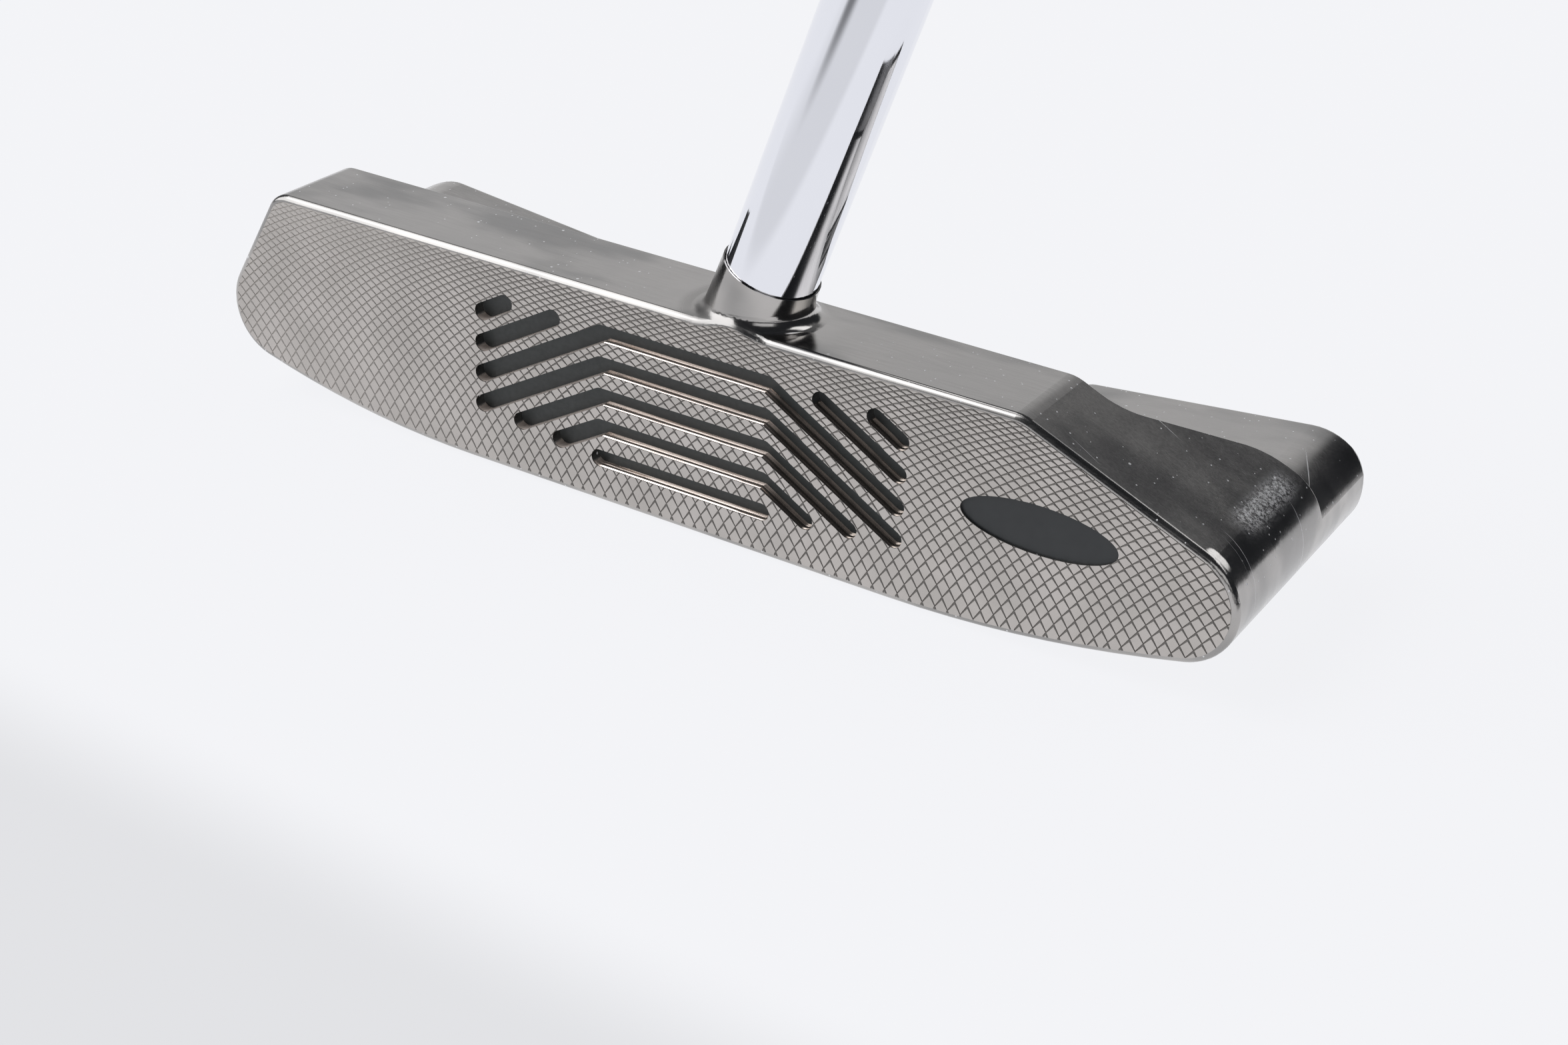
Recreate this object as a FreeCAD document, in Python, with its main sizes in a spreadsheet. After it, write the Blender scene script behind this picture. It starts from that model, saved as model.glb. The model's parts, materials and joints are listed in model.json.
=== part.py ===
"""Blade putter: a milled steel head with polymer-filled face grooves, a stepped shaft and a rubber grip.

Row frame, millimetres: +X towards the heel, the strike face looks along -Y, +Z up. The origin is the
centre of the flat of the sole, below the middle of the groove pattern. The head's pieces are drawn in
the face frame (y = 0 on the strike face, z = 0 on the sole) and placed half a sole's depth forward. The
shaft's and the grip's pieces are drawn along their own Z, from the floor of the shaft's socket, and are
placed on the leaning shaft axis.
"""
import FreeCAD, Part
import math
import os

import Sketcher
from FreeCAD import Placement, Rotation, Vector

DIMENSIONS = {
    # head outline, seen from the front
    "topline_height": 23.0,
    "toe_top_x": 51.8,
    "toe_base_x": 61.1,
    "toe_base_z": 6.0,
    "toe_top_round": 2.9,
    "toe_low_round": 6.0,
    "heel_break_x": 36.2,
    "heel_reach": 59.2,
    "heel_corner_z": 13.3,
    "heel_break_round": 4.0,
    "heel_top_round": 7.0,
    "heel_low_round": 6.0,
    "sole_flat_toe": 26.0,
    "sole_flat_heel": 24.0,
    "heel_base_z": 5.1,
    # head, front to back
    "blade_thickness": 11.1,
    "head_depth": 33.0,
    "toe_plan_inset": 2.8,
    "rear_toe_round": 5.0,
    "rear_heel_round": 3.0,
    "face_setback": 12.0,
    "sole_flat_back": 23.0,
    "trail_round": 15.0,
    "face_edge_round": 0.65,
    "back_edge_round": 0.15,
    "rear_edge_round": 0.6,
    # rear flange, bumpers and shoulder
    "bumper_inner_height": 11.9,
    "bumper_inner_x": 28.0,
    "bumper_rise_deg": 5.7,
    "bumper_toe_x": 57.5,
    "bumper_toe_fall_deg": 72.0,
    "bumper_heel_x": 57.0,
    "bumper_heel_fall_deg": 68.0,
    "flange_height": 7.5,
    "flange_inner_x": 24.8,
    "bumper_round": 3.0,
    "bumper_end_round": 6.2,
    "shoulder_start_x": 41.0,
    "shoulder_end_x": 52.0,
    "shoulder_end_y": 20.6,
    "shoulder_round": 6.0,
    "cavity_half_width": 20.0,
    "cavity_front_y": 12.6,
    "cavity_back_y": 20.5,
    "cavity_floor": 4.6,
    "cavity_round": 3.0,
    "sight_line_width": 1.6,
    "sight_line_depth": 0.5,
    "sight_line_paint": 0.3,
    "sight_line_start_y": 22.2,
    "sight_line_end_y": 30.4,
    # face grooves and their fills
    "groove_width": 1.88,
    "groove_recess": 1.25,
    "fill_thickness": 1.2,
    "groove_pitch": 3.42,
    "groove_top_z": 18.56,
    "chevron_half": 9.6,
    "chevron_leg_deg": 30.0,
    "leg_end_pitch": 4.88,
    # painted mark on the face
    "mark_x": 38.9,
    "mark_z": 12.4,
    "mark_width": 16.0,
    "mark_height": 5.0,
    "mark_recess": 0.35,
    "mark_paint": 0.15,
    # collar, socket and post
    "shaft_x": 4.74,
    "shaft_y": 5.5,
    "shaft_lean_deg": 18.5,
    "shaft_loft_deg": 0.3,
    "collar_height": 4.9,
    "collar_radius": 5.1,
    "collar_rim_radius": 4.92,
    "collar_flare": 1.4,
    "collar_root": 8.0,
    "socket_radius": 4.76,
    "socket_depth": 6.0,
    "post_radius": 4.1,
    "post_length": 30.0,
    "post_root": 2.0,
    "post_chamfer": 0.8,
    # shaft and adhesive
    "shaft_seat": 0.1,
    "shaft_tip_radius": 4.7,
    "shaft_wall": 0.5,
    "shaft_tip_length": 230.0,
    "shaft_step_length": 27.0,
    "shaft_step_rise": 0.22,
    "shaft_step_cone": 1.5,
    "shaft_end": 862.0,
    "glue_height": 5.55,
    # grip, tape and cap
    "grip_length": 267.0,
    "grip_bore": 7.54,
    "tape_start": 8.0,
    "cap_thickness": 4.0,
    "cap_edge_round": 1.6,
    "vent_radius": 2.0,
}
SHAFT_STEPS = 12
MARGIN = 12.0  # how far a cutting body runs past the metal that it cuts
CLEAR = 1.0  # how far a shallow cutter starts in front of its surface
TOUCH = 1e-3  # how close an edge lies to the plane that it is picked by

# grip sections from mouth to butt: part of the length, flat's distance, half width, back, corner
GRIP_FIELDS = ("part", "flat", "half", "back", "corner")
GRIP_SECTIONS = [
    (0.00, 8.8, 9.3, 9.2, 5.0),
    (0.06, 9.3, 10.2, 9.8, 5.0),
    (0.35, 10.0, 11.8, 10.8, 4.5),
    (0.65, 10.8, 13.2, 12.2, 4.5),
    (0.85, 11.4, 14.4, 15.2, 4.5),
    (1.00, 12.0, 15.4, 18.4, 4.5),
]


class Size:
    """A dimension that keeps its spreadsheet formula beside its value."""

    def __init__(self, value, formula):
        self.value = value
        self.formula = formula

    def _join(self, sign, other, value):
        formula = other.formula if isinstance(other, Size) else str(other)
        return Size(value, f"({self.formula} {sign} {formula})")

    def __add__(self, other):
        return self._join("+", other, self.value + number(other))

    def __sub__(self, other):
        return self._join("-", other, self.value - number(other))

    def __mul__(self, other):
        return self._join("*", other, self.value * number(other))

    def __neg__(self):
        return self * -1


def number(size):
    """The plain number behind a Size, or the number itself."""
    return size.value if isinstance(size, Size) else float(size)


def make_sheet(doc):
    """Put every driving dimension in a spreadsheet and return them all as Sizes."""
    sheet = doc.addObject("Spreadsheet::Sheet", "Dimensions")
    values = dict(DIMENSIONS)
    for station, section in enumerate(GRIP_SECTIONS):
        for field, value in zip(GRIP_FIELDS, section):
            values[f"grip_{field}_station_{station}"] = value
    for row, (alias, value) in enumerate(values.items(), start=1):
        sheet.set(f"A{row}", alias)
        sheet.set(f"B{row}", str(value))
        sheet.setAlias(f"B{row}", alias)
    doc.recompute()
    return {alias: Size(sheet.get(alias), f"Dimensions.{alias}") for alias in values}


def drive(obj, path, size):
    """Set one property of an object to a Size and bind it to the spreadsheet."""
    if isinstance(size, Size):
        obj.setExpression(path, size.formula)
    else:
        setattr(obj, path, size)


def drive_base(obj, x, y, z):
    """Bind the position of an object to three Sizes."""
    obj.Placement.Base = Vector(number(x), number(y), number(z))
    for axis, size in zip("xyz", (x, y, z)):
        if isinstance(size, Size):
            obj.setExpression(f".Placement.Base.{axis}", size.formula)


# ---------------------------------------------------------------- sketches and bodies

def new_body(doc, name):
    body = doc.addObject("PartDesign::Body", name)
    body.Label = name
    return body


def plane_sketch(body, name, role):
    """A new sketch on one of the body's own origin planes."""
    plane = next(item for item in body.Origin.OriginFeatures if item.Role == role)
    sketch = body.newObject("Sketcher::SketchObject", name)
    sketch.AttachmentSupport = (plane, [""])
    sketch.MapMode = "FlatFace"
    return sketch


def pin_point(sketch, geometry, position, x, y):
    """Hold one sketch point at x, y from the sketch's origin, driven by the sheet."""
    for kind, size in (("DistanceX", x), ("DistanceY", y)):
        index = sketch.addConstraint(
            Sketcher.Constraint(kind, -1, 1, geometry, position, number(size)))
        if isinstance(size, Size):
            sketch.setExpression(f"Constraints[{index}]", size.formula)


def draw_chain(sketch, points, closed=True):
    """Draw straight edges through points that the sheet drives."""
    corners = [Vector(number(x), number(y), 0) for x, y in points]
    ends = corners[1:] + corners[:1] if closed else corners[1:]
    lines = [sketch.addGeometry(Part.LineSegment(a, b), False) for a, b in zip(corners, ends)]
    for first, second in zip(lines, lines[1:]):
        sketch.addConstraint(Sketcher.Constraint("Coincident", first, 2, second, 1))
    if closed:
        sketch.addConstraint(Sketcher.Constraint("Coincident", lines[-1], 2, lines[0], 1))
    for line, (x, y) in zip(lines, points):
        pin_point(sketch, line, 1, x, y)
    if not closed:
        pin_point(sketch, lines[-1], 2, *points[-1])


def pad(body, name, sketch, length, reverse=False):
    feature = body.newObject("PartDesign::Pad", name)
    feature.Profile = sketch
    feature.Reversed = reverse
    drive(feature, "Length", length)


def revolve(body, name, sketch):
    """Turn a half profile, drawn in the XZ plane, once round the body's Z axis."""
    feature = body.newObject("PartDesign::Revolution", name)
    feature.Profile = sketch
    feature.ReferenceAxis = (sketch, ["V_Axis"])
    feature.Angle = 360


def round_edges(body, doc, name, radius, picked):
    """Round the edges of the body's last feature that a test picks."""
    doc.recompute()
    base = body.Tip
    names = [f"Edge{i}" for i, edge in enumerate(base.Shape.Edges, 1) if picked(edge)]
    if not names:
        raise RuntimeError(f"{name}: no edge to round")
    feature = body.newObject("PartDesign::Fillet", name)
    feature.Base = (base, names)
    drive(feature, "Radius", radius)


def round_solid(doc, name, base, radius, picked):
    """Round picked edges of any solid with a Part fillet."""
    doc.recompute()
    size = number(radius)
    edges = [(i, size, size) for i, edge in enumerate(base.Shape.Edges, 1) if picked(edge)]
    if not edges:
        raise RuntimeError(f"{name}: no edge to round")
    feature = doc.addObject("Part::Fillet", name)
    feature.Base = base
    feature.Edges = edges
    return feature


def boolean(doc, kind, name, base, tool):
    """Part::Cut, Part::Fuse or Part::Common of two objects."""
    feature = doc.addObject(f"Part::{kind}", name)
    feature.Base = base
    feature.Tool = tool
    if kind != "Common":
        feature.Refine = True
    return feature


def box(doc, name, low, high):
    """A box between two corners that the sheet drives."""
    feature = doc.addObject("Part::Box", name)
    for path, a, b in zip(("Length", "Width", "Height"), low, high):
        drive(feature, path, b - a if isinstance(b, Size) else -(a - b))
    drive_base(feature, *low)
    return feature


def along_y(edge, x, z, reach=0.6):
    """True for a straight edge that runs front to back close to x, z."""
    bounds = edge.BoundBox
    straight = bounds.XLength < TOUCH and bounds.ZLength < TOUCH
    return straight and math.hypot(bounds.Center.x - x, bounds.Center.z - z) < reach


def upright(edge, x, y, reach=0.1):
    """True for a vertical edge close to x, y."""
    bounds = edge.BoundBox
    straight = bounds.XLength < TOUCH and bounds.YLength < TOUCH
    return straight and math.hypot(bounds.Center.x - x, bounds.Center.y - y) < reach


# ---------------------------------------------------------------- the head

def head_blank(doc, d):
    """The bar of the head: its front outline, as deep as the head, with the trailing sole rounded up."""
    body = new_body(doc, "HeadBlank")
    outline = plane_sketch(body, "FrontOutline", "XZ_Plane")
    corners = [
        (-d["toe_top_x"], d["topline_height"]),
        (d["heel_break_x"], d["topline_height"]),
        (d["heel_reach"], d["heel_corner_z"]),
        (d["heel_reach"], d["heel_base_z"]),
        (d["sole_flat_heel"], 0),
        (-d["sole_flat_toe"], 0),
        (-d["toe_base_x"], d["toe_base_z"]),
    ]
    draw_outline(outline, corners)
    pad(body, "HeadBar", outline, d["head_depth"], reverse=True)
    corner_rounds = [
        ("ToeTop", "toe_top_round", corners[0]),
        ("HeelBreak", "heel_break_round", corners[1]),
        ("HeelTop", "heel_top_round", corners[2]),
        ("HeelLow", "heel_low_round", corners[3]),
        ("ToeLow", "toe_low_round", corners[6]),
    ]
    for name, radius, (x, z) in corner_rounds:
        at_x, at_z = number(x), number(z)
        round_edges(body, doc, name, d[radius], lambda edge: along_y(edge, at_x, at_z))
    cut_trailing_sole(body, doc, d)
    return boolean(doc, "Common", "HeadForm", body, head_plan(doc, d))


def head_plan(doc, d):
    """The head's outline from above, with its two rear corners rounded."""
    body = new_body(doc, "HeadPlan")
    sketch = plane_sketch(body, "PlanOutline", "XY_Plane")
    toe, heel = -(d["toe_base_x"] - d["toe_plan_inset"]), d["heel_reach"]
    front, back = -d["head_depth"], d["head_depth"]
    draw_chain(sketch, [(toe, front), (heel, front), (heel, back), (toe, back)])
    pad(body, "PlanPad", sketch, d["topline_height"] + MARGIN)
    for name, x in (("rear_toe_round", number(toe)), ("rear_heel_round", number(heel))):
        round_edges(body, doc, name, d[name], lambda edge: upright(edge, x, number(back)))
    return body


def draw_outline(sketch, corners):
    """The front outline: straight edges, with an arc for each rocker of the sole."""
    points = [Vector(number(x), number(z), 0) for x, z in corners]
    rockers = {3: 4, 5: 6}
    edges = []
    for i, start in enumerate(points):
        end = points[(i + 1) % len(points)]
        if i in rockers:
            edges.append(sketch.addGeometry(rocker_arc(start, end), False))
        else:
            edges.append(sketch.addGeometry(Part.LineSegment(start, end), False))
    heel_rocker, flat, toe_rocker = edges[3:6]
    # an arc's own start and end follow its turning direction, so the rockers join by their real ends
    join = Sketcher.Constraint
    sketch.addConstraint(join("Coincident", edges[0], 2, edges[1], 1))
    sketch.addConstraint(join("Coincident", edges[1], 2, edges[2], 1))
    sketch.addConstraint(join("Coincident", edges[2], 2, heel_rocker, 2))
    sketch.addConstraint(join("Coincident", toe_rocker, 1, edges[6], 1))
    sketch.addConstraint(join("Coincident", edges[6], 2, edges[0], 1))
    sketch.addConstraint(join("Tangent", heel_rocker, 1, flat, 1))
    sketch.addConstraint(join("Tangent", toe_rocker, 2, flat, 2))
    for geometry, (x, z) in zip((0, 1, 2), corners):
        pin_point(sketch, edges[geometry], 1, x, z)
    pin_point(sketch, heel_rocker, 2, *corners[3])
    pin_point(sketch, flat, 1, *corners[4])
    pin_point(sketch, flat, 2, *corners[5])
    pin_point(sketch, edges[6], 1, *corners[6])


def rocker_arc(start, end):
    """An arc between two sole points that is level at the lower one."""
    low, high = (start, end) if start.y < end.y else (end, start)
    run, rise = high.x - low.x, high.y - low.y
    radius = (run * run + rise * rise) / (2 * rise)
    centre = Vector(low.x, low.y + radius, 0)
    circle = Part.Circle(centre, Vector(0, 0, 1), radius)
    low_angle = -math.pi / 2
    high_angle = math.atan2(high.y - centre.y, high.x - centre.x)
    return Part.ArcOfCircle(circle, min(low_angle, high_angle), max(low_angle, high_angle))


def cut_trailing_sole(body, doc, d):
    """Round the sole up behind its flat, from heel to toe."""
    doc.recompute()
    before = body.Tip.Shape.Volume
    sketch = plane_sketch(body, "TrailingSole", "YZ_Plane")
    flat_back, radius = number(d["sole_flat_back"]), number(d["trail_round"])
    depth = number(d["head_depth"]) + CLEAR
    rise = radius - math.sqrt(radius * radius - (depth - flat_back) ** 2)
    circle = Part.Circle(Vector(flat_back, radius, 0), Vector(0, 0, 1), radius)
    end_angle = math.atan2(rise - radius, depth - flat_back)
    arc = sketch.addGeometry(Part.ArcOfCircle(circle, -math.pi / 2, end_angle), False)
    corners = [(depth, rise), (depth, -CLEAR), (flat_back, -CLEAR), (flat_back, 0)]
    corners = [Vector(y, z, 0) for y, z in corners]
    edges = [arc] + [sketch.addGeometry(Part.LineSegment(a, b), False) for a, b in zip(corners, corners[1:])]
    for first, second in zip(edges, edges[1:] + [arc]):
        sketch.addConstraint(Sketcher.Constraint("Coincident", first, 2, second, 1))
    radius_rule = sketch.addConstraint(Sketcher.Constraint("Radius", arc, radius))
    sketch.setExpression(f"Constraints[{radius_rule}]", d["trail_round"].formula)
    pin_point(sketch, arc, 3, d["sole_flat_back"], d["trail_round"])
    pocket = body.newObject("PartDesign::Pocket", "TrailingSoleCut")
    pocket.Profile = sketch
    pocket.Type = "ThroughAll"
    pocket.Midplane = True
    doc.recompute()
    if pocket.Shape.Volume >= before:
        raise RuntimeError("the trailing sole was not cut")


def shaft_rotation(d):
    """Turn +Z onto the shaft: leaning towards the heel, and forward by the face's loft."""
    lean = Rotation(Vector(0, 1, 0), number(d["shaft_lean_deg"]))
    loft = Rotation(Vector(1, 0, 0), number(d["shaft_loft_deg"]))
    return lean.multiply(loft)


def on_shaft_axis(d, height):
    """A placement on the shaft axis, in the face frame, at a height above the topline."""
    rotation = shaft_rotation(d)
    foot = Vector(number(d["shaft_x"]), number(d["shaft_y"]), number(d["topline_height"]))
    return Placement(foot + rotation.multVec(Vector(0, 0, height)), rotation)


def axis_cylinder(doc, d, name, radius, start, length):
    """A cylinder on the shaft axis that starts at a height above the topline."""
    feature = doc.addObject("Part::Cylinder", name)
    feature.Placement = on_shaft_axis(d, number(start))
    drive(feature, "Radius", radius)
    drive(feature, "Height", length)
    return feature


def collar_block(doc, d):
    """The collar with its flared foot, on the slice of topline that it grows from."""
    top = d["topline_height"]
    half = d["collar_radius"] + MARGIN
    slab = box(doc, "CollarSlab",
               (d["shaft_x"] - half, d["shaft_y"] - half, top - d["collar_root"]),
               (d["shaft_x"] + half, d["shaft_y"] + half, top))
    tube = doc.addObject("Part::Cone", "CollarTube")
    tube.Placement = on_shaft_axis(d, number(-d["collar_root"]))
    draft = (number(d["collar_radius"]) - number(d["collar_rim_radius"])) / number(d["collar_height"])
    drive(tube, "Radius1", d["collar_radius"] + d["collar_root"] * draft)
    drive(tube, "Radius2", d["collar_rim_radius"])
    drive(tube, "Height", d["collar_height"] + d["collar_root"])
    joined = boolean(doc, "Fuse", "CollarOnSlab", slab, tube)
    top_z = number(top)
    foot = round_solid(doc, "CollarFlare", joined, d["collar_flare"],
                       lambda edge: edge.Curve.TypeId == "Part::GeomEllipse"
                       and abs(edge.BoundBox.ZMin - top_z) < TOUCH
                       and abs(edge.BoundBox.ZMax - top_z) < TOUCH)
    keep = box(doc, "BladeSlice",
               (d["shaft_x"] - half, 0, top - d["collar_root"]),
               (d["shaft_x"] + half, d["blade_thickness"], top + d["collar_root"]))
    return boolean(doc, "Common", "Collar", foot, keep)


def rear_hollow(doc, d):
    """What is milled away behind the blade: all above the flange and its bumpers."""
    side = d["heel_reach"] + MARGIN
    back = d["head_depth"] + MARGIN
    top = d["topline_height"] + MARGIN
    plan = hollow_plan(doc, d, side, back, top)
    profile = hollow_profile(doc, d, side, back, top)
    return boolean(doc, "Common", "RearHollow", plan, profile)


def hollow_plan(doc, d, side, back, top):
    """The hollow seen from above: behind the blade, and past the slanting shoulder at the heel."""
    plan = new_body(doc, "RearHollowPlan")
    sketch = plane_sketch(plan, "HollowPlan", "XY_Plane")
    draw_chain(sketch, [
        (-side, d["blade_thickness"]),
        (d["shoulder_start_x"], d["blade_thickness"]),
        (d["shoulder_end_x"], d["shoulder_end_y"]),
        (side, d["shoulder_end_y"]),
        (side, back),
        (-side, back),
    ])
    pad(plan, "HollowPlanPad", sketch, top)
    bends = [
        (number(d["shoulder_start_x"]), number(d["blade_thickness"])),
        (number(d["shoulder_end_x"]), number(d["shoulder_end_y"])),
    ]
    round_edges(plan, doc, "ShoulderRound", d["shoulder_round"],
                lambda edge: any(upright(edge, x, y) for x, y in bends))
    return plan


def bumper_end(d, side, end):
    """The height of a bumper's crest at one end of the head, and of its fall beyond that end."""
    rise = math.tan(math.radians(number(d["bumper_rise_deg"])))
    fall = math.tan(math.radians(number(d[f"bumper_{end}_fall_deg"])))
    crest = d["bumper_inner_height"] + (d[f"bumper_{end}_x"] - d["bumper_inner_x"]) * rise
    return crest, crest - (side - d[f"bumper_{end}_x"]) * fall


def hollow_profile(doc, d, side, back, top):
    """The hollow seen from behind: each bumper's top rises from the flange and falls round its end."""
    profile = new_body(doc, "RearHollowProfile")
    sketch = plane_sketch(profile, "BumperTops", "XZ_Plane")
    toe_crest, toe_foot = bumper_end(d, side, "toe")
    heel_crest, heel_foot = bumper_end(d, side, "heel")
    draw_chain(sketch, [
        (-side, toe_foot),
        (-d["bumper_toe_x"], toe_crest),
        (-d["bumper_inner_x"], d["bumper_inner_height"]),
        (-d["flange_inner_x"], d["flange_height"]),
        (d["flange_inner_x"], d["flange_height"]),
        (d["bumper_inner_x"], d["bumper_inner_height"]),
        (d["bumper_heel_x"], heel_crest),
        (side, heel_foot),
        (side, top),
        (-side, top),
    ])
    pad(profile, "BumperTopsPad", sketch, back, reverse=True)
    crests = [(-number(d["bumper_toe_x"]), number(toe_crest)),
              (number(d["bumper_heel_x"]), number(heel_crest))]
    round_edges(profile, doc, "BumperEnds", d["bumper_end_round"],
                lambda edge: any(along_y(edge, x, z, 0.1) for x, z in crests))
    inner_x, inner_z = number(d["bumper_inner_x"]), number(d["bumper_inner_height"])
    foot_x, foot_z = number(d["flange_inner_x"]), number(d["flange_height"])
    steps = [(sign * x, z) for sign in (-1, 1) for x, z in ((inner_x, inner_z), (foot_x, foot_z))]
    round_edges(profile, doc, "BumperRound", d["bumper_round"],
                lambda edge: any(along_y(edge, x, z, 0.1) for x, z in steps))
    return profile


def cavity_tool(doc, d):
    """The rounded pocket in the flange, close behind the blade."""
    block = box(doc, "CavityBlock",
                (-d["cavity_half_width"], d["cavity_front_y"], d["cavity_floor"]),
                (d["cavity_half_width"], d["cavity_back_y"], d["topline_height"]))
    return round_solid(doc, "CavityTool", block, d["cavity_round"],
                       lambda edge: edge.BoundBox.ZLength > TOUCH)


def sight_line(doc, d, name, low, high, forward=0):
    """A bar along the aiming line on the flange, between two heights, moved forward by a length."""
    half = d["sight_line_width"] * 0.5
    return box(doc, name,
               (-half, d["sight_line_start_y"] - forward, low),
               (half, d["sight_line_end_y"] - forward, high))


def groove_paths(d):
    """The centre lines of the face grooves, by the name of the fill that lies in each."""
    fall = math.tan(math.radians(number(d["chevron_leg_deg"])))
    flat, pitch, top = d["chevron_half"], d["groove_pitch"], d["groove_top_z"]
    end = flat + d["leg_end_pitch"] * 3
    paths = {}
    for i, shorter in enumerate((0, 0, 1, 2)):
        leg_end = end - d["leg_end_pitch"] * shorter
        level = top - pitch * i
        low = level - (leg_end - flat) * fall
        paths[f"chevron_fill_{i + 1}"] = [(-leg_end, low), (-flat, level), (flat, level), (leg_end, low)]
    bar_level = top - pitch * 4
    paths["bar_fill"] = [(-flat, bar_level), (flat, bar_level)]
    for word, steps in (("long", 1), ("short", 2)):
        start = flat + pitch * (steps / fall)
        low = top - (end - start) * fall
        paths[f"toe_slot_fill_{word}"] = [(-end, low), (-start, top)]
        paths[f"heel_slot_fill_{word}"] = [(start, top), (end, low)]
    return paths


def groove_band(doc, d, name, path):
    """The flat outline of one groove: its centre line, widened all round."""
    sketch = doc.addObject("Sketcher::SketchObject", f"{name}_path")
    sketch.Placement = Placement(Vector(0, 0, 0), Rotation(Vector(1, 0, 0), 90))
    if len(path) == 2:
        draw_slot(sketch, *path, d["groove_width"] * 0.5)
        return sketch
    draw_chain(sketch, path, closed=False)
    band = doc.addObject("Part::Offset2D", f"{name}_band")
    band.Source = sketch
    band.Mode = "Pipe"
    band.Join = "Arc"
    band.Fill = True
    drive(band, "Value", d["groove_width"] * 0.5)
    return band


def draw_slot(sketch, start, end, radius):
    """A straight slot with round ends, about a centre line that the sheet drives."""
    first = Vector(number(start[0]), number(start[1]), 0)
    last = Vector(number(end[0]), number(end[1]), 0)
    run = last - first
    angle = math.atan2(run.y, run.x)
    side = Vector(-math.sin(angle), math.cos(angle), 0) * number(radius)
    quarter = math.pi / 2
    axis = Vector(0, 0, 1)
    far = Part.ArcOfCircle(Part.Circle(last, axis, number(radius)), angle - quarter, angle + quarter)
    near = Part.ArcOfCircle(Part.Circle(first, axis, number(radius)), angle + quarter, angle + 3 * quarter)
    low = sketch.addGeometry(Part.LineSegment(first - side, last - side), False)
    far = sketch.addGeometry(far, False)
    high = sketch.addGeometry(Part.LineSegment(last + side, first + side), False)
    near = sketch.addGeometry(near, False)
    for a, b in ((low, far), (far, high), (high, near), (near, low)):
        sketch.addConstraint(Sketcher.Constraint("Tangent", a, 2, b, 1))
    rule = sketch.addConstraint(Sketcher.Constraint("Radius", far, number(radius)))
    sketch.setExpression(f"Constraints[{rule}]", radius.formula)
    pin_point(sketch, near, 3, *start)
    pin_point(sketch, far, 3, *end)


def extrude_back(doc, name, base, start, end):
    """Extrude a flat outline on the strike face between two depths behind the face."""
    feature = doc.addObject("Part::Extrusion", name)
    feature.Base = base
    feature.DirMode = "Custom"
    feature.Dir = Vector(0, 1, 0)
    feature.Solid = True
    drive(feature, "LengthFwd", end)
    drive(feature, "LengthRev", -start)
    return feature


def mark_outline(doc, d):
    """The ellipse of the painted mark."""
    outline = doc.addObject("Part::Ellipse", "MarkOutline")
    outline.Placement.Rotation = Rotation(Vector(1, 0, 0), 90)
    drive(outline, "MajorRadius", d["mark_width"] * 0.5)
    drive(outline, "MinorRadius", d["mark_height"] * 0.5)
    drive_base(outline, d["mark_x"], 0, d["mark_z"])
    return outline


def make_head(doc, d, cutters):
    """The milled steel head, with its collar and the post that the shaft slides over."""
    blade = boolean(doc, "Fuse", "BladeWithCollar", head_blank(doc, d), collar_block(doc, d))
    milled = boolean(doc, "Cut", "MilledBehind", blade, rear_hollow(doc, d))
    behind = number(d["blade_thickness"])
    softened = round_solid(doc, "FaceEdge", milled, d["face_edge_round"],
                           lambda edge: edge.BoundBox.YMax < TOUCH)
    top_z = number(d["topline_height"])
    eased = round_solid(doc, "BackEdge", softened, d["back_edge_round"],
                        lambda edge: edge.BoundBox.YMin > behind - TOUCH
                        and edge.BoundBox.YMax < behind + TOUCH
                        and edge.BoundBox.ZMin > top_z - TOUCH)
    depth = number(d["head_depth"])
    rear = round_solid(doc, "RearEdge", eased, d["rear_edge_round"],
                       lambda edge: edge.BoundBox.YMin > depth - TOUCH)
    socket = axis_cylinder(doc, d, "Socket", d["socket_radius"],
                           d["collar_height"] - d["socket_depth"], d["collar_height"] + d["socket_depth"])
    tools = doc.addObject("Part::MultiFuse", "HeadTools")
    tools.Shapes = cutters + [socket, cavity_tool(doc, d)]
    bored = boolean(doc, "Cut", "BoredHead", rear, tools)
    head = boolean(doc, "Fuse", "PutterHead", bored, make_post(doc, d))
    head.Label = "putter_head"
    return head


def make_post(doc, d):
    """The post inside the collar, rooted below the socket's floor, with a chamfered tip."""
    start = d["collar_height"] - d["socket_depth"] - d["post_root"]
    post = axis_cylinder(doc, d, "Post", d["post_radius"], start, d["post_length"] + d["post_root"])
    doc.recompute()
    far = max(edge.CenterOfMass.z for edge in post.Shape.Edges)
    chamfer = doc.addObject("Part::Chamfer", "PostTip")
    chamfer.Base = post
    size = number(d["post_chamfer"])
    chamfer.Edges = [(i, size, size) for i, edge in enumerate(post.Shape.Edges, 1)
                     if abs(edge.CenterOfMass.z - far) < TOUCH]
    return chamfer


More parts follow.
